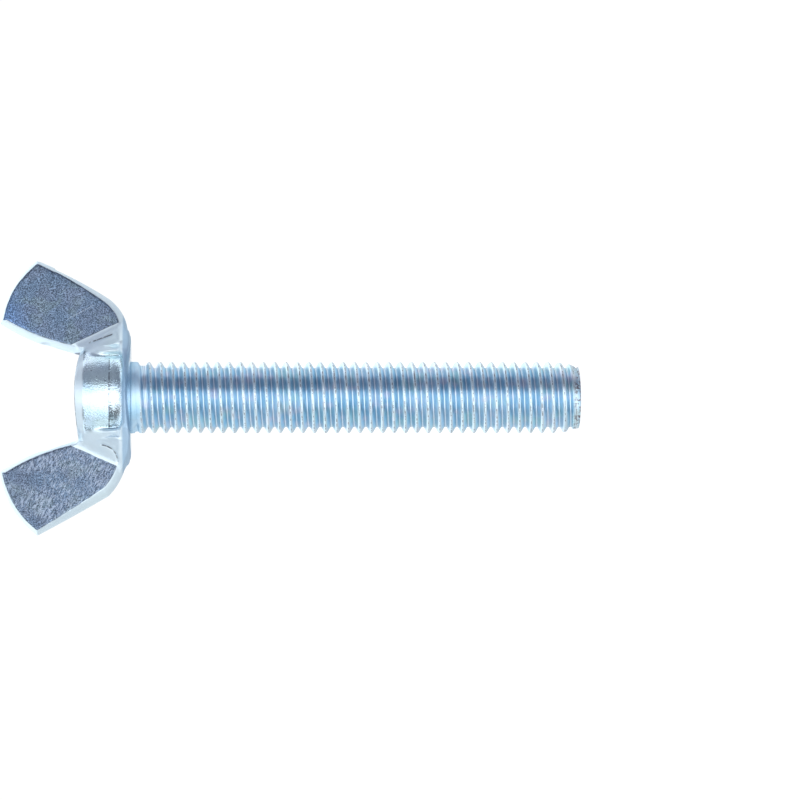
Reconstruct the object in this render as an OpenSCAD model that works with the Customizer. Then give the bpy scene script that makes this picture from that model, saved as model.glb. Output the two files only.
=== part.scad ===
// Wing screw, American form: a forged wing head with a threaded stud fixed in it.
// Z is the screw's axis. The origin is the centre of the bearing face under the head.
// The wings stand up from it along X, and the thread points down. Millimetres.

/* [Thread] */
// Major diameter of the thread, and of the plain collar under the head
major_d = 7.85; // [7.6:0.05:8]
// Distance between crests
pitch = 1.25; // [1:0.05:1.25]
// Depth of the groove below the major diameter
thread_depth = 0.7; // [0.5:0.05:0.75]
// Width of the flat at the bottom of the groove
root_flat = 0.25; // [0.1:0.05:0.25]
// Angle at which the groove passes the height of the bearing face
thread_phase = 18; // [0:1:359]
// Length from the bearing face to the tip
shank_l = 49.1; // [20:0.1:60]
// Length of the tapered start of the thread
tip_taper_l = 1.6; // [0.5:0.1:3]
// How much smaller the radius is at the very tip
tip_taper_r = 0.55; // [0.2:0.05:0.8]

/* [Hub] */
// Radius of the round flange at the bearing face
flange_r = 6.6; // [6.4:0.05:7]
// Thickness of the flange's straight edge
flange_t = 0.6; // [0.4:0.05:0.9]
// Radius of the hub just above the flange's fillet
hub_base_r = 5.4; // [5.2:0.05:5.6]
// Radius of the hub just under its chamfered rim
hub_top_r = 5.25; // [5.15:0.05:5.4]
// Radius of the hub's rim above the chamfer
rim_r = 4.95; // [4.8:0.05:5.1]
// Height at which the rim's chamfer starts
rim_z = 5.15; // [4.8:0.05:5.4]
// Height of the hub's rim above the bearing face
hub_h = 6.1; // [5.6:0.1:6.6]
// Half length of the oval foot that joins the flange to the wings
foot_r = 7.3; // [7:0.1:7.6]
// Half width of the oval foot, across the wings
foot_w = 5.2; // [5:0.05:5.35]
// Height of the oval foot
foot_h = 1.4; // [1:0.1:2]
// Half width of the level band of the bearing face, across the wings
level_y = 4.5; // [4.3:0.1:5]
// Angle at which the underside rises past that band, in degrees
relief_a = 13; // [5:1:14]

/* [Wings] */
// Span over the two wing tips
span = 30.2; // [28:0.1:32]
// Height of the tips above the bearing face
tip_z = 10.3; // [9.5:0.1:11]
// Height of the wings' top corners, which is the height of the head
head_h = 14.25; // [13.5:0.05:15]
// Distance of the top corners from the axis
horn_r = 8.2; // [7.5:0.1:9]
// Distance of the outer knee from the axis
knee_r = 10.9; // [10:0.1:11.5]
// Height of the outer knee
knee_z = 2.35; // [2:0.05:3]
// Bow of the outer edge from foot to knee, on the wing towards +X
foot_bow_a = 0.72; // [0.3:0.02:0.8]
// The same on the wing towards -X
foot_bow_b = 0.5; // [0.3:0.02:0.8]
// Bow of the outer edge from knee to tip, on the wing towards +X
outer_bow_a = 0.22; // [-0.2:0.02:0.3]
// The same on the wing towards -X
outer_bow_b = 0.06; // [-0.2:0.02:0.3]
// How much further out the tip towards -X is than the other one
tip_more_x = 0.1; // [0:0.05:0.2]
// How much lower the tip towards -X is than the other one
tip_less_z = 0.2; // [0:0.05:0.4]
// Thickness of a wing at its top corner
wing_t = 2.4; // [2:0.1:3]
// Draft of the wings' front faces, in degrees
front_draft = 4.8; // [1:0.1:6]
// Draft of the wings' back faces, in degrees
back_draft = 1.1; // [0:0.1:3]
// How far the front of a wing is from the axis plane at its top corner
front_y = 0.95; // [0.8:0.05:1.2]
// How far the wing's rounded end edge reaches past its flat faces
end_round = 0.5; // [0.3:0.05:0.8]
// How far the inner edge reaches past the flat faces
inner_round = 0.55; // [0.3:0.05:0.6]
// How far the outer edge reaches past the flat faces at the tip
tip_round = 0.35; // [0.2:0.05:0.5]
// How far the outer edge reaches past the flat faces at the knee and the foot
foot_round = 0.8; // [0.4:0.05:0.9]
// Radius of the scoop in each wing's inner edge
scoop_r = 1.5; // [1.3:0.1:1.6]
// Distance of the scoop's centre from the axis
scoop_x = 4.3; // [4.1:0.05:4.4]
// Height of the scoop's centre
scoop_z = 8; // [7.6:0.1:8.4]

/* [Fixing of the stud] */
// Radius of the stud and of the hole inside the head
fixing_r = 3.6; // [3.4:0.05:3.7]
// Radius at which the hole is chamfered in the bearing face, around the collar
chamfer_r = 4.02; // [4.02:0.02:4.2]
// Depth of that chamfer
chamfer_h = 0.45; // [0.4:0.05:0.6]
// Height at which the hole starts to open into the countersink
sink_z = 4.3; // [3.9:0.1:4.5]
// Radius of the countersink's mouth
sink_r = 4.4; // [4.3:0.05:4.5]
// Radius of the stud's spread end
spread_r = 4.12; // [4:0.02:4.2]
// Height of the rim of the stud's spread end
spread_z = 5.5; // [5.3:0.05:5.6]
// Depth of the dish in the stud's spread end
dish_h = 0.4; // [0.2:0.05:0.6]

/* [Hidden] */
$fa = 4;
$fs = 0.2;
// Facets for each turn of the groove
turn_n = 24;
major_r = major_d / 2;
root_r = major_r - thread_depth;
// The groove's sides are at 30 degrees to the radius
flank = tan(30);
over = 0.08;
root_w = root_flat / 2;
mouth_w = root_w + (thread_depth + over) * flank;
// The groove starts below the tip and fades out under the head
phase_z = pitch * thread_phase / 360;
turn_low = floor(-(shank_l + 1.2 * pitch + phase_z) / pitch);
turn_full = -1.55;
turn_end = -0.5;
fade_end = 0.22;
groove_n = ceil((turn_end - turn_low) * turn_n);
wing_foot = 4.6;
layers = 8;

function mix(a, b, t) = a + (b - a) * t;

// Points from a towards b, bowed to the right of that direction by h at the middle.
// The third number of each point is how much the edge is rounded there: w at a, v at b.
function bow(a, b, h, w, v, n) =
  let(d = b - a, s = [d[1], -d[0]] / norm(d))
  [for (i = [0:n - 1])
    let(t = i / n, p = a + d * t + s * 4 * h * t * (1 - t))
    [p[0], p[1], mix(w, v, t)]];

// Points on an arc with centre c and radii rx and ry, from angle a0 to a1
function arc(c, rx, ry, a0, a1, n) =
  [for (i = [0:n]) let(a = mix(a0, a1, i / n)) [c[0] + rx * cos(a), c[1] + ry * sin(a)]];

// A wing's outline in its own plane, anticlockwise from the foot: x is the distance
// from the axis and y the height. The forging's two wings aren't quite alike.
foot_p = [6.1, 0.35];
knee_p = [knee_r, knee_z];
tip_a = [span / 2, tip_z];
tip_b = tip_a + [tip_more_x, -tip_less_z];
horn_p = [horn_r, head_h];
neck_p = [wing_foot + 0.2, 5.7];
inner_p = [wing_foot, 0.35];
function wing_outline(foot_bow, outer_bow, tip_p) = concat(
  bow(foot_p, knee_p, foot_bow, foot_round, foot_round, 5),
  bow(knee_p, tip_p, outer_bow, foot_round, tip_round, 5),
  bow(tip_p, horn_p, 0.8, end_round, end_round, 8),
  bow(horn_p, neck_p, 0.45, inner_round, inner_round, 7),
  bow(neck_p, inner_p, 0, tip_round, tip_round, 3),
  bow(inner_p, foot_p, 0, tip_round, foot_round, 2)
);
outline_a = wing_outline(foot_bow_a, outer_bow_a, tip_a);
outline_b = wing_outline(foot_bow_b, outer_bow_b, tip_b);
outline_n = len(outline_a);

function edge_normal(outline, i) =
  let(
    p = outline[(i + outline_n - 1) % outline_n],
    q = outline[(i + 1) % outline_n],
    d = [q[0] - p[0], q[1] - p[1]]
  )
  [d[1], -d[0]] / norm(d);

// The wing's thickness runs from its back face at s = 1 to its front face at s = -1
function front_at(z) = -front_y - (head_h - z) * tan(front_draft);
function back_at(z) = wing_t - front_y + (head_h - z) * tan(back_draft);

function wing_ring(side, j) =
  let(a = mix(-90, 90, j / layers), outline = side > 0 ? outline_a : outline_b)
  [for (i = [0:outline_n - 1])
    let(
      p = outline[i],
      e = edge_normal(outline, i) * p[2] * (1 - cos(a)),
      x = p[0] - e[0],
      z = p[1] - e[1]
    )
    [side * x, mix(front_at(z), back_at(z), (1 + sin(a)) / 2), z]];

// Triangles between neighbouring rings of n points, closed with a flat face at each end
function shell_faces(rings, n, flip) =
  let(
    walls = [for (j = [0:rings - 2], i = [0:n - 1], k = [0, 1])
      let(a = j * n + i, b = j * n + (i + 1) % n, c = a + n, d = b + n)
      k == 0 ? [a, c, b] : [b, c, d]],
    low = [for (i = [0:n - 1]) i],
    high = [for (i = [0:n - 1]) rings * n - 1 - i],
    all = concat(walls, [low], [high])
  )
  flip ? [for (f = all) [for (i = [len(f) - 1:-1:0]) f[i]]] : all;

module wing(side) {
  points = [for (j = [0:layers]) each wing_ring(side, j)];
  polyhedron(points, shell_faces(layers + 1, outline_n, side > 0), convexity = 4);
}

// Half section of the flange, fillet, hub and chamfered rim, with the stud's hole in it
module hub_section() {
  fillet_r = flange_r - hub_base_r;
  polygon(concat(
    [[chamfer_r, 0], [flange_r - 0.12, 0], [flange_r, 0.12], [flange_r, flange_t]],
    arc([flange_r, flange_t + fillet_r * 1.2], fillet_r, fillet_r * 1.2, 260, 180, 8),
    [[hub_top_r, rim_z], [rim_r, hub_h - 0.12], [rim_r - 0.1, hub_h - 0.02], [sink_r + 0.1, hub_h]],
    [[sink_r, hub_h - 0.12], [fixing_r, sink_z], [fixing_r, chamfer_h]]
  ));
}

module foot() {
  lift = 0.2;
  ring = arc([0, 0], foot_r, foot_w, 0, 352.5, 47);
  translate([0, 0, lift])
    linear_extrude(foot_h - lift)
      polygon(ring);
}

// Web on both sides of a wing where it spreads into the foot and the hub
module web(side) {
  low = 1.2;
  reach = 4.4;
  x0 = side * 4;
  x1 = side * 5.2;
  x2 = side * 7.7;
  points = [
    [x0, -reach, low], [x0, reach, low], [x1, reach, low], [x1, -reach, low],
    [x2, front_at(low), low], [x2, back_at(low), low],
    [x0, front_at(4.9), 4.9], [x0, back_at(4.9), 4.9],
    [x1, front_at(4.9), 4.9], [x1, back_at(4.9), 4.9]
  ];
  hull()
    for (p = points)
      translate(p)
        cube(0.02, center = true);
}

// What is cut from the underside past the level band, on the side given
module underside_cut(side) {
  translate([0, side * level_y, 0])
    rotate([side * relief_a, 0, 0])
      translate([-12, side > 0 ? -3 : -6, -4])
        cube([24, 9, 4]);
}

// Everything that is open inside the head: chamfer, hole and countersink
module head_hole() {
  top = hub_h - 0.12;
  translate([0, 0, -1])
    cylinder(h = 1, r = chamfer_r);
  cylinder(h = chamfer_h, r1 = chamfer_r, r2 = fixing_r);
  cylinder(h = sink_z + 0.1, r = fixing_r);
  translate([0, 0, sink_z])
    cylinder(h = top - sink_z, r1 = fixing_r, r2 = sink_r);
  translate([0, 0, top - 0.01])
    cylinder(h = 3, r = sink_r);
}

module wing_head() {
  color([0.72, 0.79, 0.85])
    difference() {
      union() {
        rotate_extrude()
          hub_section();
        difference() {
          union() {
            foot();
            for (side = [-1, 1]) {
              wing(side);
              web(side);
            }
          }
          head_hole();
        }
      }
      for (side = [-1, 1]) {
        translate([side * scoop_x, 0, scoop_z])
          sphere(r = scoop_r);
        underside_cut(side);
      }
    }
}

// One section of the groove at turn t: the mouth's and the root's two corners
function groove_out(t) =
  t <= turn_full ? 0
  : t < turn_end - 0.08 ? mix(0, thread_depth - fade_end, (t - turn_full) / (turn_end - 0.08 - turn_full))
  : mix(thread_depth - fade_end, thread_depth + over, (t - turn_end + 0.08) / 0.08);

function groove_section(i) =
  let(
    t = mix(turn_low, turn_end, i / groove_n),
    a = 360 * t + thread_phase,
    z = pitch * t,
    u = groove_out(t),
    ra = root_r + u,
    rb = major_r + over + u
  )
  [for (p = [[rb, -mouth_w], [ra, -root_w], [ra, root_w], [rb, mouth_w]])
    [p[0] * cos(a), p[0] * sin(a), z + p[1]]];

module groove() {
  points = [for (i = [0:groove_n]) each groove_section(i)];
  polyhedron(points, shell_faces(groove_n + 1, 4, false), convexity = 10);
}

// The plain rod that the thread is rolled into
module blank() {
  straight = shank_l - tip_taper_l;
  translate([0, 0, -straight])
    cylinder(h = straight, r = major_r);
  translate([0, 0, -shank_l])
    cylinder(h = tip_taper_l, r1 = major_r - tip_taper_r, r2 = major_r);
}

// The end inside the head, spread into the countersink and dished
module spread_end() {
  rotate_extrude()
    polygon([
      [0, 0], [major_r - 0.05, 0], [fixing_r, chamfer_h], [fixing_r, sink_z],
      [spread_r, spread_z], [spread_r - 0.3, spread_z + 0.05],
      [spread_r * 0.62, spread_z - dish_h * 0.7], [spread_r * 0.3, spread_z - dish_h],
      [0, spread_z - dish_h]
    ]);
}

module threaded_stud() {
  color([0.66, 0.78, 0.86])
    union() {
      difference() {
        blank();
        groove();
      }
      spread_end();
    }
}

wing_head();
threaded_stud();
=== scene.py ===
import math

import bpy
import numpy as np
import openvdb
from mathutils import Matrix, Vector


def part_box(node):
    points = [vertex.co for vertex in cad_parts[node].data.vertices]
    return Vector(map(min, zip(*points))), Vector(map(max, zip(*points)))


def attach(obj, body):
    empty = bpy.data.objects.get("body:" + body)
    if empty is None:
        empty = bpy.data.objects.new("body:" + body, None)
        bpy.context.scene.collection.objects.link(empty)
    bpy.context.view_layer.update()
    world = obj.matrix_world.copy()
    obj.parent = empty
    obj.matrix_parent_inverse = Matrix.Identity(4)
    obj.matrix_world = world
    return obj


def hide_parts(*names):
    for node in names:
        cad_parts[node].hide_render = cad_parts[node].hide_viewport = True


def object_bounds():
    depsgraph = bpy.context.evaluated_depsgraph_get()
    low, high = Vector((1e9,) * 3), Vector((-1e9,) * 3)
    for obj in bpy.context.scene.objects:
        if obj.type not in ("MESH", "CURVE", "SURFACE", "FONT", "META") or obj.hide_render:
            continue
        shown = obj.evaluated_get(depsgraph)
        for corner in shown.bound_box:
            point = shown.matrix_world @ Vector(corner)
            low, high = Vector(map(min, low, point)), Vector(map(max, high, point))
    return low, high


MM = 0.001

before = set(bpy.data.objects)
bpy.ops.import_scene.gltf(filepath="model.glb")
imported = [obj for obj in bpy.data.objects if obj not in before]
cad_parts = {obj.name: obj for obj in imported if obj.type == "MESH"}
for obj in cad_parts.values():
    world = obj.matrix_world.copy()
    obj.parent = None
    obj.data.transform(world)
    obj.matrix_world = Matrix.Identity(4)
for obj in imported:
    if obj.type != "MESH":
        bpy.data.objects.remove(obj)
cad_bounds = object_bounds()
head_low, head_high = (np.array(v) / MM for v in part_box("wing_head"))
stud_low = np.array(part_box("threaded_stud")[0]) / MM

# ---------------------------------------------------------------- shapes in numpy


def smooth_step(low, high, x):
    t = np.clip((x - low) / (high - low), 0, 1)
    return t * t * (3 - 2 * t)


def smooth_min(a, b, k):
    """The smaller of a and b, with a fillet of about k where they meet."""
    h = np.maximum(k - np.abs(a - b), 0) / k
    return np.minimum(a, b) - h * h * k / 4


def smooth_max(a, b, k):
    return -smooth_min(-a, -b, k)


LATTICE = np.random.default_rng(7).random((48, 48, 48))


def noise(x, y, z, size):
    """Smooth random values from -1 to 1 that change over a distance of about size."""
    cells = [np.asarray(v, float) / size + 100 for v in (x, y, z)]
    low = [np.floor(c).astype(int) for c in cells]
    part = [smooth_step(0, 1, c - f) for c, f in zip(cells, low)]
    total = 0
    for i in (0, 1):
        for j in (0, 1):
            for k in (0, 1):
                share = 1
                for corner, p in zip((i, j, k), part):
                    share = share * (p if corner else 1 - p)
                total = total + share * LATTICE[(low[0] + i) % 48, (low[1] + j) % 48, (low[2] + k) % 48]
    return total * 2 - 1


def bow(a, b, height, w0, w1, n):
    """Points from a towards b, bowed to the right by height; the third number is the rounding there."""
    a, b = np.array(a, float), np.array(b, float)
    d = b - a
    right = np.array([d[1], -d[0]]) / np.hypot(*d)
    t = np.arange(n)[:, None] / n
    return np.hstack([a + d * t + right * 4 * height * t * (1 - t), w0 + (w1 - w0) * t])


def arc(centre, rx, ry, a0, a1, n):
    a = np.radians(np.linspace(a0, a1, n + 1))
    return np.column_stack([centre[0] + rx * np.cos(a), centre[1] + ry * np.sin(a)])


def outline_distance(x, z, outline):
    """Distance to a closed outline, negative inside it, and the third number of its nearest point."""
    x, z = np.broadcast_arrays(x, z)
    nearest = np.full(x.shape, 1e9)
    third = np.zeros(x.shape)
    inside = np.zeros(x.shape, bool)
    for p, q in zip(outline, np.roll(outline, -1, 0)):
        e = q[:2] - p[:2]
        t = np.clip(((x - p[0]) * e[0] + (z - p[1]) * e[1]) / (e @ e), 0, 1)
        d = (x - p[0] - e[0] * t) ** 2 + (z - p[1] - e[1] * t) ** 2
        third = np.where(d < nearest, p[2] + (q[2] - p[2]) * t, third)
        nearest = np.minimum(d, nearest)
        if p[1] != q[1]:
            beside = x < e[0] * (z - p[1]) / e[1] + p[0]
            inside = inside ^ (((p[1] > z) != (q[1] > z)) & beside)
    return np.where(inside, -1, 1) * np.sqrt(nearest), third


# ---------------------------------------------------------------- the forged head

# the head is turned this far from facing the camera
TURN = math.radians(10)
HEAD_H = round(float(head_high[2]), 3)
RING_Z = 5.98
# the wings' thickness and front face at the top, and the draft of their faces
WING_T = 2.4
FRONT_Y = 0.95
FRONT_DRAFT = math.radians(4.8)
BACK_DRAFT = math.radians(1.1)
# the oval foot's half lengths
FOOT_X = 7.3
FOOT_Y = 6.55
# the underside is level up to LEVEL_Y and rises at 13 degrees past it
LEVEL_Y = 4.5
RISE_TAN = 0.231
RISE_COS = 0.974
# the hole for the stud, its chamfer below and its countersink on top
FIXING_R = 3.6
CHAMFER_H = 0.45
CHAMFER_W = 0.42
SINK_R = 4.4
SINK_Z = 4.3
FOLD_DEPTH = 0.07
# the struck ring round the countersink
STRUCK_R0 = 4.4
STRUCK_R1 = 4.9
# grid steps of the head's mesh and of the table of the hub's section
VOXEL = 0.112
SAMPLE = 0.03

# corners of a wing's outline as (x, z), from its foot round to the side inside the hub
FOOT, KNEE = (6.1, 0.35), (10.9, 2.35)
HORN, NECK, INNER = (8.2, HEAD_H), (4.8, 5.7), (4.6, 0.35)


def wing_outline(foot_bow, outer_bow, tip):
    return np.vstack([
        bow(FOOT, KNEE, foot_bow, 0.85, 0.8, 24),
        bow(KNEE, tip, outer_bow, 0.8, 0.3, 24),
        bow(tip, HORN, 0.8, 0.31, 0.31, 32),
        bow(HORN, NECK, 0.45, 0.6, 0.6, 28),
        bow(NECK, INNER, 0, 0.4, 0.4, 3),
        bow(INNER, FOOT, 0, 0.4, 0.8, 3),
    ])


# the two wings aren't quite alike: the one towards +X has the rounder outer edge
OUTLINES = {1: wing_outline(0.72, 0.22, (15.1, 10.3)), -1: wing_outline(0.5, 0.06, (15.2, 10.1))}
# the hub and the flange as (radius, z)
HUB_SECTION = np.vstack([
    [[0, 0], [6.48, 0], [6.6, 0.12], [6.6, 0.58]],
    arc([6.62, 2.15], 1.13, 1.53, 262, 187, 20),
    [[5.4, 2.24], [5.27, 5.1], [5.2, 5.28], [4.98, 5.95], [4.9, 6.04], [4.4, 6.06], [0, RING_Z]],
])
HUB_SECTION = np.column_stack([HUB_SECTION, np.zeros(len(HUB_SECTION))])


def wing_sides(z):
    """Y of a wing's front and back face at the height z."""
    front = -FRONT_Y - (HEAD_H - z) * math.tan(FRONT_DRAFT)
    back = WING_T - FRONT_Y + (HEAD_H - z) * math.tan(BACK_DRAFT)
    return front, back


def wing_field(x, y, z):
    """Distance to the two wings, and the distance past the border of their coined flats, negative inside."""
    ax = np.abs(x)
    here, rounding = outline_distance(ax, z, OUTLINES[1])
    there, other = outline_distance(ax, z, OUTLINES[-1])
    edge = np.where(x > 0, here, there)
    rounding = np.where(x > 0, rounding, other)
    # a low step in the outer edge of the wing towards +X, under its tip
    step = smooth_step(8.15, 8.45, z) * smooth_step(12.6, 13.2, ax) * (x > 0)
    edge = edge - 0.14 * step
    rounding = rounding + 0.22 * step
    # towards the hub, past a slanting line, the wing flares out
    root = 7.8 - (0.907 * ax + 0.422 * z)
    t = np.clip(root, 0, 2.4)
    flare = 0.12 * t + 0.4 * t * t
    front, back = wing_sides(z)
    half = (back - front) / 2 + flare
    # s runs from -1 on the front face to 1 on the back face
    s = (y - (front + back) / 2) / half
    side = (np.abs(s) - 1) * half
    slope = 2 * rounding * np.abs(s) / half
    rim = (edge + rounding * np.minimum(s * s, 1.5)) / np.sqrt(1 + slope * slope)
    solid = smooth_max(rim, side / np.sqrt(1 + (0.12 + 0.8 * t) ** 2), 0.16)
    flat = np.maximum(np.maximum(edge + rounding, root), -0.12 - side)
    return solid, flat


def hub_field(x, y, z):
    """Distance to the hub with its flange, the oval foot and the wings' webs, and to the bare hub."""
    rho = np.hypot(x, y)
    # the rim is a little lower beside the wings than between them
    z = z + np.where(x > 0, 0.38, 0.24) * np.minimum(np.abs(x) / 3.6, 1.3) ** 2 * smooth_step(4.0, 6.0, z)
    sample = np.arange(0, 18, SAMPLE)
    levels, back = np.unique(np.round(z, 2), return_inverse=True)
    table, _ = outline_distance(sample[None, :], levels[:, None], HUB_SECTION)
    place = np.clip(rho / SAMPLE, 0, len(sample) - 2)
    low = place.astype(int)
    part = place - low
    row = back.reshape(np.shape(z))
    hub = table[row, low] * (1 - part) + table[row, low + 1] * part
    # the oval foot, higher beside the wings
    oval = (np.hypot(x / FOOT_X, y / FOOT_Y) - 1) * 6.9
    top = 0.62 + 0.62 * smooth_step(2.5, 6.2, np.abs(x))
    foot = smooth_max(oval, np.maximum(z - top, 0.2 - z), 0.3)
    base = smooth_min(hub, foot, 0.45)
    # a web: the space under a leaning plane, ended inside the hub, at the foot, by the wing's lower
    # edge and on top
    ax, ay = np.abs(x), np.abs(y)
    shift = np.where(y < 0, 0.0, 0.1)
    lean = 0.608 * (ax - 7.9) + 0.713 * (ay - 2.0 + shift) + 0.347 * (z - 0.9)
    web = smooth_max(lean, 4.2 - ax, 0.6)
    web = smooth_max(web, 0.22 - z, 0.3)
    web = smooth_max(web, 0.385 * (ax - 6.1) - 0.923 * (z - 0.35) - 0.35, 0.4)
    web = np.maximum(web, z - 5.4)
    return smooth_min(base, web, 0.55), hub


def fold_distance(x, y, z):
    """Distance to two fine folds on the front: a quarter circle by the -X wing, a line by the other."""
    u = x * math.cos(TURN) - y * math.sin(TURN)
    curl = np.abs(np.hypot(u + 7.0, z - 3.2) - 1.85) + np.maximum(z - 3.1, 0) + np.maximum(-6.95 - u, 0)
    line = np.abs(0.343 * (z - 4.49) + 0.939 * (u - 5.97)) + np.maximum(2.0 - z, 0) + np.maximum(z - 4.5, 0)
    return np.minimum(curl, line) + np.maximum(y + 1.0, 0)


def hole_field(x, y, z):
    """Distance to the stud's hole, its chamfer and its countersink, negative inside them."""
    rho = np.hypot(x, y)
    wall = FIXING_R + np.clip((z - SINK_Z) / (RING_Z - SINK_Z), 0, 1) * (SINK_R - FIXING_R)
    chamfer = np.clip(CHAMFER_H - z, 0, CHAMFER_H) * (CHAMFER_W / CHAMFER_H)
    return (rho - wall - chamfer) * 0.9


def head_parts(x, y, z):
    """Distance to the head, to its bare hub, and past the border of the wings' coined flats."""
    wing, flat = wing_field(x, y, z)
    hub, bare = hub_field(x, y, z)
    solid = smooth_min(wing, hub, 0.1)
    # a round hollow in the inner edge of each wing
    ax = np.abs(x)
    along = np.clip((ax - 4.35) * 0.364 + (z - 7.6) * 0.931, -0.55, 1.3)
    scoop = np.sqrt((ax - 4.2 - 0.364 * along) ** 2 + y * y + (z - 7.9 - 0.931 * along) ** 2) - 1.5
    solid = smooth_max(solid, -scoop, 0.15)
    solid = smooth_max(solid, -hole_field(x, y, z), 0.06)
    rise = RISE_COS * (np.maximum(np.abs(y) - LEVEL_Y, 0) * RISE_TAN - z)
    solid = np.maximum(solid, rise)
    solid = solid + FOLD_DEPTH * smooth_step(0.2, 0.02, fold_distance(x, y, z))
    return solid, bare, flat


def head_mesh():
    """The head's outside as quads on a fine grid, held inside the CAD head's box."""
    low = np.array([-15.75, -7.35, -0.56])
    size = np.ceil((np.array([15.75, 7.35, 15.1]) - low) / VOXEL).astype(int)
    x, y, z = (low[i] + VOXEL * np.arange(size[i]) for i in range(3))
    # only where the head is: the wings' slab, and the hub on both sides of it
    slab, behind, before = np.abs(y) < 2.5, y >= 2.5, y <= -2.5
    by_hub, low_down = np.abs(x) < 9.6, z < 6.9
    blocks = [(x < np.inf, slab, z < np.inf), (by_hub, behind, low_down), (by_hub, before, low_down)]
    # distances count up to this far from the surface
    reach = 0.5
    solid = np.full(size, reach, np.float32)
    for block in blocks:
        i, j, k = np.ix_(*block)
        solid[i, j, k] = head_parts(x[i], y[j], z[k])[0]
    grid = openvdb.FloatGrid(1.0)
    grid.copyFromArray(np.clip(solid, -reach, reach).astype(np.float32))
    grid.transform = openvdb.createLinearTransform(voxelSize=VOXEL)
    points, quads = grid.convertToQuads(0.0)
    points = np.clip(points + low, head_low, head_high)
    return points, [list(q[::-1]) for q in quads.tolist()]


def head_values(points):
    """What the finish needs at each point: how far past the flats' border, the folds, the hub, the band."""
    x, y, z = points.T
    _, bare, flat = head_parts(x, y, z)
    rho = np.hypot(x, y)
    ring = np.maximum(np.maximum(STRUCK_R0 - rho, rho - STRUCK_R1), 5.3 - z)
    return {
        # the flats and the struck ring, which the finish paints dark as a painted reflection
        "coined": np.minimum(flat, ring),
        "crease": fold_distance(x, y, z),
        "satin": np.maximum(smooth_step(0.02, 0.3, bare), smooth_step(5.0, 5.25, z)),
        "band": smooth_step(0.95, 0.75, z) * smooth_step(5.6, 6.2, rho),
    }


# ---------------------------------------------------------------- the threaded stud

MAJOR_R = 3.925
PITCH = 1.25
# how steeply the thread's sides rise: the tangent of 60 degrees
FLANK_TAN = 1.732
# on the +X side, the middle of a groove is at this height, and at each pitch from it
GROOVE_Z = -0.0625
DISH_R = 3.71
ROD_R = FIXING_R - 0.02
# the threaded length's columns round the stud, and four times as many for the spread end
COLUMNS = 80
ROWS_PER_PITCH = 20
FINE = 4 * COLUMNS
TOP_Z = -0.3
TIP_Z = float(stud_low[2])
LOWEST_ROW_Z = TIP_Z + 0.04


def groove_turn(angle, z):
    """The groove's own angle in degrees at its turn nearest to the height z, and the height over it."""
    centre = GROOVE_Z + PITCH * angle / 360
    turn = np.round((z - centre) / PITCH)
    return angle + 360 * turn, z - centre - turn * PITCH


def thread_radius(angle, z):
    """Radius of the stud at an angle in degrees and a height: crests, groove, run-out, nick and tip."""
    turn, over = groove_turn(angle, z)
    # towards the collar the groove gets shallower and its floor wider, and then it ends
    depth = np.interp(turn, [-560, -370, -280, -190, -152], [0.71, 0.47, 0.36, 0.24, 0.1])
    depth = np.where(turn > -150, 0, depth)
    floor = np.interp(turn, [-560, -370, -190], [0.1, 0.3, 0.16])
    wall = MAJOR_R - depth + np.maximum(np.abs(over) - floor, 0) * FLANK_TAN
    r = smooth_max(wall, MAJOR_R - depth, 0.1)
    r = smooth_min(r, MAJOR_R, 0.16) + 0.008
    # the tapered start
    reduced = np.interp(z, [-49.1, -48.5, -48.1, -47.5, -46.85, -46.3], [0.56, 0.44, 0.25, 0.1, 0.08, 0])
    r = smooth_min(r, MAJOR_R - reduced, 0.08)
    # the nick in the collar
    near = np.hypot((z + 0.72) / 0.26, ((angle + 153 + 180) % 360 - 180) / 5.2)
    r = r - 0.22 * np.clip(1 - near, 0, 1)
    return np.minimum(r, MAJOR_R)


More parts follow.
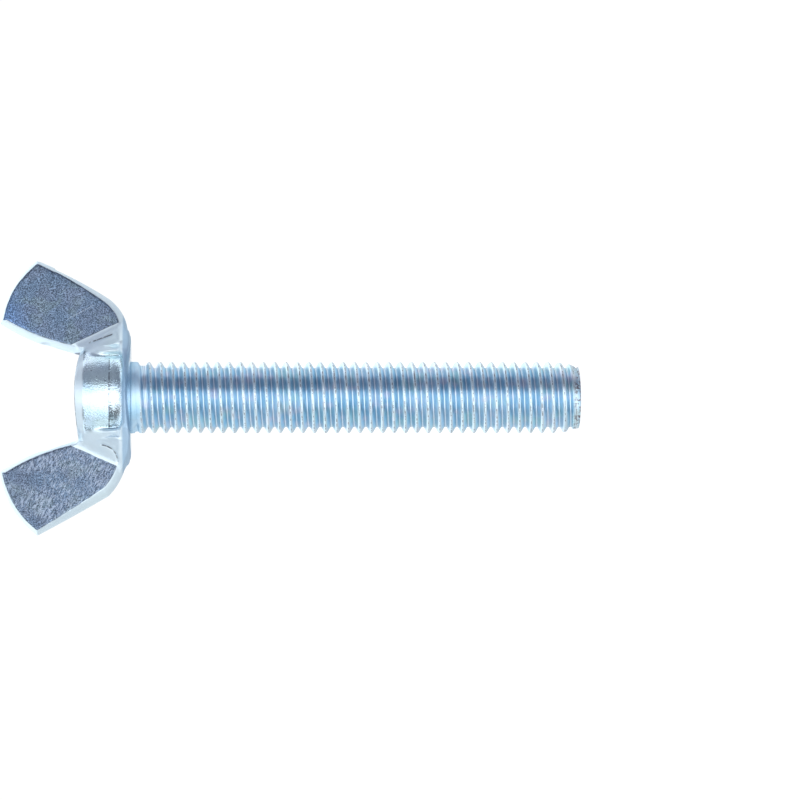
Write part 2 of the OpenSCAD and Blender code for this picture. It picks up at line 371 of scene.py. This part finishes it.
def stud_mesh():
    """The stud from the middle of its tip to the middle of its dish, as one closed skin."""
    points, faces = [], []

    def ring(r, z, n):
        first = len(points)
        a = np.radians(np.arange(n) * 360 / n)
        for i in range(n):
            ri = r if np.isscalar(r) else r[i]
            zi = z if np.isscalar(z) else z[i]
            points.append((ri * math.cos(a[i]), ri * math.sin(a[i]), zi))
        return list(range(first, first + n))

    def join(lower, upper):
        n = len(lower)
        for i in range(n):
            faces.append((lower[i], lower[(i + 1) % n], upper[(i + 1) % n], upper[i]))

    def cap(rim, z, up):
        points.append((0.0, 0.0, z))
        n, centre = len(rim), len(points) - 1
        for i in range(n):
            pair = (rim[i], rim[(i + 1) % n])
            faces.append((*pair, centre) if up else (*pair[::-1], centre))

    # the threaded length: each row follows the groove, so its last column meets the first one pitch higher
    rows = int(math.ceil((TOP_Z - TIP_Z) / PITCH) + 2) * ROWS_PER_PITCH
    angles = np.arange(COLUMNS) * 360 / COLUMNS
    steps = np.arange(rows + 1)
    height = TIP_Z - PITCH + PITCH * (steps[:, None] / ROWS_PER_PITCH + angles[None, :] / 360)
    z = np.clip(height, LOWEST_ROW_Z, TOP_Z)
    r = thread_radius(np.broadcast_to(angles, z.shape), z)
    x = r * np.cos(np.radians(angles))
    y = r * np.sin(np.radians(angles))
    rough = 0.006 * noise(x, y, z, 0.16) * smooth_step(TIP_Z + 1.6, TIP_Z + 0.2, z)
    slant = 0.012 * (x + y) * smooth_step(TIP_Z + 0.9, LOWEST_ROW_Z, z)
    z = np.minimum(np.maximum(z + rough + slant * (z < TIP_Z + 0.5), TIP_Z + 0.01), TOP_Z)
    body = np.stack([x, y, z], -1)
    points.extend(map(tuple, body.reshape(-1, 3)))

    low_of, high_of = {}, {}
    for i in range(COLUMNS):
        below = [j for j in steps if height[j, i] <= LOWEST_ROW_Z]
        above = [j for j in steps if height[j, i] >= TOP_Z]
        low_of[i], high_of[i] = below[-1], above[0]

    def kept(j, i):
        """The vertex that stands for row j of column i once everything past either end is drawn together."""
        if i == COLUMNS:
            return kept(j + ROWS_PER_PITCH, 0)
        return min(max(j, low_of[i]), high_of[i]) * COLUMNS + i

    for j in range(-ROWS_PER_PITCH, rows):
        for i in range(COLUMNS):
            corner = (kept(j, i), kept(j, i + 1), kept(j + 1, i + 1), kept(j + 1, i))
            face = tuple(v for k, v in enumerate(corner) if v != corner[k - 1])
            if len(set(face)) >= 3:
                faces.append(face)

    tip = [low_of[i] * COLUMNS + i for i in range(COLUMNS)]
    tip_r = np.array([math.hypot(*points[v][:2]) for v in tip])
    inner = tip
    for share in (0.93, 0.7, 0.4, 0.15):
        outer = inner
        inner = ring(tip_r * share, TIP_Z, COLUMNS)
        join(inner, outer)
    cap(inner, TIP_Z, False)

    collar = [high_of[i] * COLUMNS + i for i in range(COLUMNS)]
    lower = collar
    for rr, zz in ((MAJOR_R, -0.05), (MAJOR_R - 0.05, 0.02), (ROD_R, CHAMFER_H), (ROD_R, 2.0)):
        upper = ring(rr, zz, COLUMNS)
        join(lower, upper)
        lower = upper
    # each column fans out into four
    upper = ring(ROD_R, 2.4, FINE)
    for i in range(COLUMNS):
        after = (i + 1) % COLUMNS
        fan = [upper[(4 * i + k) % FINE] for k in range(5)]
        for k in range(4):
            faces.append((lower[i if k < 2 else after], fan[k + 1], fan[k]))
        faces.append((lower[i], lower[after], fan[2]))
    lower = upper

    # the spread end: a rounded lip in the countersink, then the struck dish, as (radius, z)
    profile = [(ROD_R, SINK_Z - 0.1), (FIXING_R + 0.02, SINK_Z + 0.16)]
    profile += [(FIXING_R + 0.02 + 0.46 * t, SINK_Z + 0.16 + 1.0 * t) for t in (0.35, 0.7, 1.0)]
    profile += [tuple(p) for p in arc([3.93, 5.4], 0.19, 0.14, 0, 165, 9)]
    for t in np.linspace(0, 1, 52):
        rr = DISH_R * (1 - t) + 0.12 * t
        zz = 5.12 + 0.27 * (rr / DISH_R) ** 3 - 0.05 * smooth_step(3.2, DISH_R, rr)
        profile.append((rr, zz))
    a = np.radians(np.arange(FINE) * 360 / FINE)
    for rr, zz in profile:
        zs = np.full(FINE, zz)
        # the dish's floor is rough in the middle, turned further out, and uneven
        if zz < 5.45 and rr < 3.7 and zz > 5:
            px, py = rr * np.cos(a), rr * np.sin(a)
            centre = smooth_step(3.0, 2.0, np.hypot(px + 0.25, py + 0.1))
            zs = zs + centre * (0.028 * noise(px, py * 1.6, 3, 0.26) + 0.02 * noise(px, py, 9, 0.7))
            zs = zs + 0.006 * np.sin(rr * 38) * smooth_step(1.6, 2.6, rr) * smooth_step(3.7, 3.5, rr)
            zs = zs + 0.05 * noise(px, py, 5, 1.9)
        upper = ring(rr, zs, FINE)
        join(lower, upper)
        lower = upper
    cap(lower, 5.11, True)
    return np.array(points), faces


# ---------------------------------------------------------------- pieces


def make_piece(name, points, faces, values, node, material):
    mesh = bpy.data.meshes.new(name)
    mesh.from_pydata((points * MM).tolist(), [], faces)
    for key, value in values.items():
        mesh.attributes.new(key, "FLOAT", "POINT").data.foreach_set("value", np.asarray(value, np.float32))
    mesh.validate()
    mesh.shade_smooth()
    mesh.materials.append(material)
    piece = bpy.data.objects.new(name, mesh)
    bpy.context.scene.collection.objects.link(piece)
    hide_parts(node)
    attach(piece, "root")
    return piece


# ---------------------------------------------------------------- finishes


class Nodes:
    """A short way to write a node tree: each call adds one node and gives its output."""

    def __init__(self, tree):
        self.tree = tree
        tree.nodes.clear()

    def add(self, kind, inputs=(), out=0, **settings):
        node = self.tree.nodes.new("ShaderNode" + kind)
        for key, value in settings.items():
            setattr(node, key, value)
        pairs = inputs.items() if isinstance(inputs, dict) else enumerate(inputs)
        for key, value in pairs:
            if isinstance(value, bpy.types.NodeSocket):
                self.tree.links.new(value, node.inputs[key])
            elif value is not None:
                node.inputs[key].default_value = value
        return node.outputs[out]

    def math(self, operation, *values, clamp=False):
        return self.add("Math", values, operation=operation, use_clamp=clamp)

    def blend(self, factor, a, b):
        """a where factor is 0, b where it is 1, for numbers."""
        return self.add("Mix", {0: factor, 2: a, 3: b})

    def tint(self, factor, a, b):
        """The same for colours."""
        full = [c if isinstance(c, bpy.types.NodeSocket) else (*c, 1) for c in (a, b)]
        return self.add("Mix", {0: factor, 6: full[0], 7: full[1]}, out=2, data_type="RGBA")

    def scale(self, colour, factor):
        return self.add("VectorMath", {0: colour, 3: factor}, operation="SCALE")

    def step(self, value, low, high):
        """0 below low, 1 above high, smooth between; low may be above high."""
        return self.add("MapRange", (value, low, high, 0.0, 1.0), interpolation_type="SMOOTHSTEP")

    def noise(self, where, scale, detail=2.0, rough=0.5):
        """Values around 0.5 that change over about 1 / scale millimetres."""
        return self.add("TexNoise", {"Vector": where, "Scale": scale, "Detail": detail, "Roughness": rough})

    def millimetres(self):
        where = self.add("TexCoord", out="Object")
        return self.add("VectorMath", {0: where, 3: 1000.0}, operation="SCALE")

    def stretch(self, where, factors):
        return self.add("VectorMath", (where, factors), operation="MULTIPLY")

    def dot(self, where, direction):
        """How far where lies along direction."""
        return self.add("VectorMath", (where, direction), out="Value", operation="DOT_PRODUCT")

    def near(self, value, centre, far, close):
        """1 where value is within close of centre, 0 where it is further than far from it."""
        return self.step(self.math("ABSOLUTE", self.math("SUBTRACT", value, centre)), far, close)

    def value(self, name):
        return self.add("Attribute", out="Fac", attribute_name=name)

    def metal(self, colour, roughness, height):
        """A metal surface; height is in metres."""
        bump = self.add("Bump", {"Strength": 1.0, "Distance": 1.0, "Height": height})
        surface = self.add("BsdfPrincipled", {
            "Base Color": colour, "Metallic": 1.0, "Roughness": roughness, "Normal": bump,
        })
        self.finish(surface)

    def finish(self, surface):
        node = self.tree.nodes.new("ShaderNodeOutputMaterial")
        self.tree.links.new(surface, node.inputs[0])


ZINC = (0.66, 0.79, 0.90)
ZINC_DEEP = (0.50, 0.68, 0.82)
ZINC_GREEN = (0.62, 0.80, 0.84)
# painted reflection: the coined flats' dark zinc stands for the dark surround they mirror
COINED_DARK_REFLECTION = (0.143, 0.187, 0.266)
# the dark of the painted shade in folds and creases, and of the dark spots
SHADE_AND_SPOT_DARK = (0.07, 0.08, 0.11)


def new_material(name):
    material = bpy.data.materials.new(name)
    material.use_nodes = True
    return material, Nodes(material.node_tree)


def head_finish():
    """Zinc plate: cloudy on the forging, satin on the hub, grained on the coined flats and painted dark there
    as a painted reflection.
    """
    material, n = new_material("zinc_forging")
    p = n.millimetres()
    x, y, z = (n.add("SeparateXYZ", (p,), out=i) for i in range(3))
    rho = n.math("SQRT", n.math("ADD", n.math("MULTIPLY", x, x), n.math("MULTIPLY", y, y)))
    clouds = n.noise(p, 0.35, 3.0)
    mottle = n.noise(p, 1.6, 3.0)
    speck = n.noise(p, 8.0, 2.0, 0.8)
    coined = n.step(n.value("coined"), 0.03, -0.03)

    colour = n.tint(n.step(clouds, 0.35, 0.65), ZINC, ZINC_DEEP)
    colour = n.tint(n.step(n.noise(p, 0.22, 1.0), 0.5, 0.7), colour, ZINC_GREEN)
    colour = n.scale(colour, n.blend(mottle, 0.9, 1.1))
    satin = n.value("satin")
    colour = n.tint(n.math("MULTIPLY", satin, 0.75), colour, (0.80, 0.91, 0.98))

    # painted reflection: the flats and struck ring are darkened to stand for the dark surround they mirror;
    # their grain and tints are their own
    flat = n.tint(n.step(n.noise(p, 0.45, 2.0), 0.35, 0.7), COINED_DARK_REFLECTION, (0.130, 0.188, 0.275))
    greenish = n.math("MULTIPLY", n.step(n.noise(p, 0.55, 2.0), 0.5, 0.66), 0.45)
    flat = n.tint(greenish, flat, (0.165, 0.225, 0.255))
    # the +X wing's horn is bluer, and the other wing a little darker
    horn = n.math("MULTIPLY", n.step(n.dot(p, (-0.5, 0.0, 0.87)), 4.0, 8.0), n.step(x, 0.0, 1.0))
    flat = n.tint(n.math("MULTIPLY", horn, 0.8), flat, (0.12, 0.21, 0.40))
    flat = n.scale(flat, n.blend(n.step(x, 1.0, -1.0), 1.0, 0.95))
    grain = n.step(speck, 0.40, 0.64)
    flat = n.scale(flat, n.blend(grain, 0.5, 1.95))
    # light brush marks on the wing towards -X
    down = n.dot(p, (0.91, 0.0, -0.42))
    over = n.dot(p, (0.42, 0.0, 0.91))
    where = n.add("CombineXYZ", (n.math("MULTIPLY", down, 1.5), y, n.math("MULTIPLY", over, 5.5)))
    brushed = n.noise(where, 1.2, 3.0, 0.7)
    patch = n.math("MULTIPLY", n.step(n.noise(p, 0.28, 1.0), 0.4, 0.56), n.step(x, 2.0, -2.0))
    marks = n.math("MULTIPLY", n.step(brushed, 0.47, 0.60), patch)
    flat = n.tint(n.math("MULTIPLY", marks, 0.55), flat, (0.50, 0.59, 0.74))
    # one long scratch on the +X wing's front
    line = n.near(n.dot(p, (0.8796, 0.0, 0.4757)), 10.67, 0.06, 0.01)
    line = n.math("MULTIPLY", line, n.near(n.dot(p, (0.4757, 0.0, -0.8796)), -0.43, 1.9, 1.4))
    line = n.math("MULTIPLY", line, n.step(y, 0.0, -0.2))
    flat = n.tint(n.math("MULTIPLY", line, 0.45), flat, (0.50, 0.58, 0.68))
    colour = n.tint(coined, colour, flat)

    # painted shade: a dark, broken line in the folds, one round the hub's foot, and a fine one round the
    # flats
    crease = n.step(n.value("crease"), 0.1, 0.03)
    crease = n.math("MULTIPLY", crease, n.step(n.noise(p, 2.6, 2.0), 0.36, 0.56))
    seam = n.math("MULTIPLY", n.near(z, 2.27, 0.09, 0.03), n.step(rho, 5.75, 5.6))
    seam = n.math("MULTIPLY", seam, n.step(n.noise(p, 2.5, 3.0, 0.7), 0.42, 0.55))
    crease = n.math("MAXIMUM", crease, n.math("MULTIPLY", seam, n.step(rho, 5.0, 5.1)))
    colour = n.tint(n.math("MULTIPLY", crease, 0.85), colour, SHADE_AND_SPOT_DARK)
    painted_border_shade = n.step(n.math("ABSOLUTE", n.value("coined")), 0.08, 0.02)
    painted_border_shade = n.math("MULTIPLY", painted_border_shade, n.step(n.noise(p, 0.8, 2.0), 0.4, 0.6))
    colour = n.tint(n.math("MULTIPLY", painted_border_shade, 0.45), colour, SHADE_AND_SPOT_DARK)
    spots = n.math("MULTIPLY", n.step(n.noise(p, 2.6, 1.0), 0.70, 0.76), n.math("SUBTRACT", 1.0, satin))
    colour = n.tint(n.math("MULTIPLY", spots, 0.5), colour, SHADE_AND_SPOT_DARK)

    # the flange's side is darker and duller
    band = n.value("band")
    colour = n.tint(band, colour, n.add("VectorMath", (colour, (0.60, 0.70, 0.80)), operation="MULTIPLY"))
    bright = n.blend(satin, n.blend(mottle, 0.12, 0.24), n.blend(mottle, 0.48, 0.64))
    roughness = n.blend(coined, n.blend(band, bright, 0.6), 0.38)
    grained = n.math("MULTIPLY", n.noise(p, 5.0, 2.0, 0.7), n.blend(satin, 3.4e-5, 1.2e-5))
    relief = n.blend(coined, grained, n.blend(speck, 0.0, 3.2e-5))
    fine = n.math("MULTIPLY", mottle, 6e-6)
    n.metal(colour, roughness, n.math("ADD", relief, fine))
    return material


def stud_finish():
    """Zinc plate on the thread, in tints that change slowly, and the dark dish on top."""
    material, n = new_material("zinc_thread")
    p = n.millimetres()
    x, y, z = (n.add("SeparateXYZ", (p,), out=i) for i in range(3))
    radius = n.math("SQRT", n.math("ADD", n.math("MULTIPLY", x, x), n.math("MULTIPLY", y, y)))
    turn = n.math("DIVIDE", n.math("ARCTAN2", y, x), 2 * math.pi)
    # phase is 0 at the crest and 0.5 at the bottom of the groove
    lead = n.math("SUBTRACT", n.math("DIVIDE", n.math("ADD", z, -GROOVE_Z), PITCH), turn)
    phase = n.math("ABSOLUTE", n.math("SUBTRACT", n.math("FRACT", lead), 0.5))
    threads = n.step(z, -0.9, -1.3)

    clouds = n.noise(p, 0.3, 2.0)
    mottle = n.noise(p, 2.2, 3.0)
    colour = n.tint(n.step(clouds, 0.3, 0.7), (0.56, 0.73, 0.87), (0.42, 0.64, 0.80))
    rosy = n.math("MULTIPLY", n.step(n.noise(n.stretch(p, (1, 1, 0.5)), 0.8, 1.0), 0.55, 0.7), threads)
    colour = n.tint(n.math("MULTIPLY", rosy, 0.5), colour, (0.74, 0.72, 0.84))
    green = n.math("MULTIPLY", n.step(n.noise(p, 0.5, 1.0), 0.52, 0.7), threads)
    colour = n.tint(n.math("MULTIPLY", green, 0.5), colour, (0.55, 0.78, 0.80))
    colour = n.scale(colour, n.blend(mottle, 0.88, 1.1))

    # painted highlight: the crests are lighter; they also have a thin dark seam that comes and goes
    painted_crest_highlight = n.math("MULTIPLY", n.step(phase, 0.2, 0.08), threads)
    colour = n.tint(n.math("MULTIPLY", painted_crest_highlight, 0.6), colour, (0.72, 0.82, 0.88))
    crest = n.math("MULTIPLY", n.step(phase, 0.06, 0.02), threads)
    broken = n.step(n.noise(n.stretch(p, (1, 1, 0.4)), 2.4, 3.0, 0.7), 0.46, 0.6)
    seam = n.math("MULTIPLY", crest, broken)
    colour = n.tint(n.math("MULTIPLY", seam, 0.75), colour, (0.1, 0.1, 0.12))
    # painted shade: dark lines on both sides of the groove's bottom, and a painted highlight: a lighter line
    # along the bottom itself
    root = n.math("MULTIPLY", n.near(phase, 0.435, 0.045, 0.01), threads)
    colour = n.tint(n.math("MULTIPLY", root, 0.6), colour, (0.1, 0.18, 0.3))
    root = n.math("MULTIPLY", n.step(phase, 0.47, 0.49), threads)
    colour = n.tint(n.math("MULTIPLY", root, 0.6), colour, (0.78, 0.78, 0.86))
    # the plain collar is a little lighter
    colour = n.scale(colour, n.blend(threads, n.blend(n.step(z, -0.1, 0.5), 1.12, 1.0), 1.0))

    # the dish: dark and grained, with a violet side
    dish = n.math("MULTIPLY", n.step(z, 4.9, 5.0), n.step(radius, 3.78, 3.72))
    speck = n.noise(p, 4.5, 2.0, 0.7)
    inner = n.tint(n.step(n.math("SUBTRACT", x, y), 1.5, 4.0), (0.30, 0.38, 0.48), (0.34, 0.34, 0.55))
    inner = n.scale(inner, n.blend(n.step(speck, 0.4, 0.65), 0.7, 1.6))
    colour = n.tint(dish, colour, inner)

    # dark spots at the tip
    tip = n.step(z, TIP_Z + 1.0, TIP_Z + 0.3)
    spots = n.math("MULTIPLY", tip, n.step(n.noise(p, 3.0, 2.0), 0.5, 0.62))
    colour = n.tint(spots, colour, (0.2, 0.2, 0.25))
    roughness = n.blend(threads, n.blend(mottle, 0.42, 0.56), n.blend(mottle, 0.28, 0.4))
    roughness = n.blend(dish, roughness, 0.3)
    relief = n.math("MULTIPLY", mottle, n.blend(threads, 6e-6, 1.0e-5))
    relief = n.math("ADD", relief, n.math("MULTIPLY", n.noise(p, 6.0, 2.0), n.blend(tip, 4e-6, 3e-5)))
    n.metal(colour, roughness, relief)
    return material


# ---------------------------------------------------------------- light, floor and camera

TOWARDS = Vector((-math.sin(TURN), -math.cos(TURN), 0))
UPWARDS = Vector((math.cos(TURN), -math.sin(TURN), 0))


def make_world():
    """A plain white studio. What the screw mirrors has a soft light in front, dark strips and lighter walls.

    angle is in degrees round the screw, 0 towards the camera and 90 upwards in its picture; along runs from
    the screw's tip to its head.
    """
    world = bpy.data.worlds.new("studio")
    bpy.context.scene.world = world
    world.use_nodes = True
    n = Nodes(world.node_tree)
    way = n.add("TexCoord", out="Generated")
    angle = n.math("ARCTAN2", n.dot(way, UPWARDS), n.dot(way, TOWARDS))
    angle = n.math("MULTIPLY", angle, 180 / math.pi)
    along = n.add("SeparateXYZ", (way,), out=2)
    # the soft light in front, and a short dark strip below it on the head's side
    low = n.math("MULTIPLY", n.step(angle, -62.0, -56.0), n.step(angle, -18.0, -28.0))
    low = n.math("MULTIPLY", low, n.step(along, 0.16, 0.3))
    light = n.blend(n.step(angle, -52.0, -38.0), 1.0, 1.9)
    light = n.blend(low, light, 0.16)
    # the long dark strip above it, which reaches further round at the head's end
    past_strip = n.math("SUBTRACT", angle, n.blend(n.step(along, 0.5, 0.8), 104.0, 114.0))
    strip = n.math("MULTIPLY", n.step(angle, 20.0, 32.0), n.step(past_strip, 0.0, -20.0))
    colour = n.tint(strip, (0.97, 0.99, 1.0), (0.92, 0.93, 1.12))
    light = n.blend(strip, light, n.blend(n.step(along, 0.3, 0.6), 0.38, 0.28))
    light = n.blend(n.step(past_strip, -20.0, 0.0), light, 1.05)
    # brighter walls above and below on the head's side, and less light from the tip's side
    below = n.math("MULTIPLY", n.step(angle, -58.0, -70.0), 0.75)
    sides = n.math("MAXIMUM", n.step(angle, 82.0, 104.0), below)
    sides = n.math("MULTIPLY", sides, n.step(along, -0.1, 0.3))
    light = n.math("MULTIPLY", light, n.blend(sides, 1.0, 1.5))
    light = n.math("MULTIPLY", light, n.blend(n.step(along, -0.05, -0.35), 1.0, 0.82))
    # the backdrop itself is plain white
    seen = n.add("LightPath", out="Is Camera Ray")
    back = n.add("Background", (colour, light))
    plain = n.add("Background", ((1.0, 1.0, 1.0, 1.0), 1.05))
    both = n.add("MixShader", (seen, back, plain))
    node = n.tree.nodes.new("ShaderNodeOutputWorld")
    n.tree.links.new(both, node.inputs[0])


def make_floor():
    """A pale floor under the screw's tip."""
    z = float(cad_bounds[0].z)
    mesh = bpy.data.meshes.new("floor")
    side = 1.6
    corners = [(-side, -side, z), (side, -side, z), (side, side, z), (-side, side, z)]
    mesh.from_pydata(corners, [], [(0, 1, 2, 3)])
    material, n = new_material("floor")
    glow = n.add("Emission", ((1.0, 1.0, 1.0, 1.0), 0.82))
    matt = n.add("BsdfDiffuse", ((0.3, 0.3, 0.3, 1.0),))
    n.finish(n.add("AddShader", (glow, matt)))
    mesh.materials.append(material)
    floor = bpy.data.objects.new("floor", mesh)
    bpy.context.scene.collection.objects.link(floor)
    floor.visible_glossy = False


def make_camera():
    """It stands before the shank's upper part and looks at its middle, the screw lying across the picture."""
    distance = 0.45
    seen_width = 87.66 * MM
    stand_z = -7 * MM
    look_z = -29.48 * MM
    data = bpy.data.cameras.new("camera")
    data.sensor_width = 36
    data.lens = data.sensor_width * distance / seen_width
    camera = bpy.data.objects.new("camera", data)
    bpy.context.scene.collection.objects.link(camera)
    lowered = UPWARDS * (-0.27 * MM)
    target = Vector((0, 0, look_z)) + lowered
    place = TOWARDS * distance + lowered + Vector((0, 0, stand_z))
    back = (place - target).normalized()
    right = UPWARDS.cross(back)
    camera.matrix_world = Matrix.Translation(place) @ Matrix((right, UPWARDS, back)).transposed().to_4x4()
    bpy.context.scene.camera = camera


# ---------------------------------------------------------------- the scene

head_points, head_faces = head_mesh()
make_piece(
    "forged_wing_head", head_points, head_faces, head_values(head_points),
    "wing_head", head_finish(),
)
stud_points, stud_faces = stud_mesh()
make_piece("threaded_rod", stud_points, stud_faces, {}, "threaded_stud", stud_finish())
make_world()
make_floor()
make_camera()
bpy.context.scene.view_settings.view_transform = "Standard"
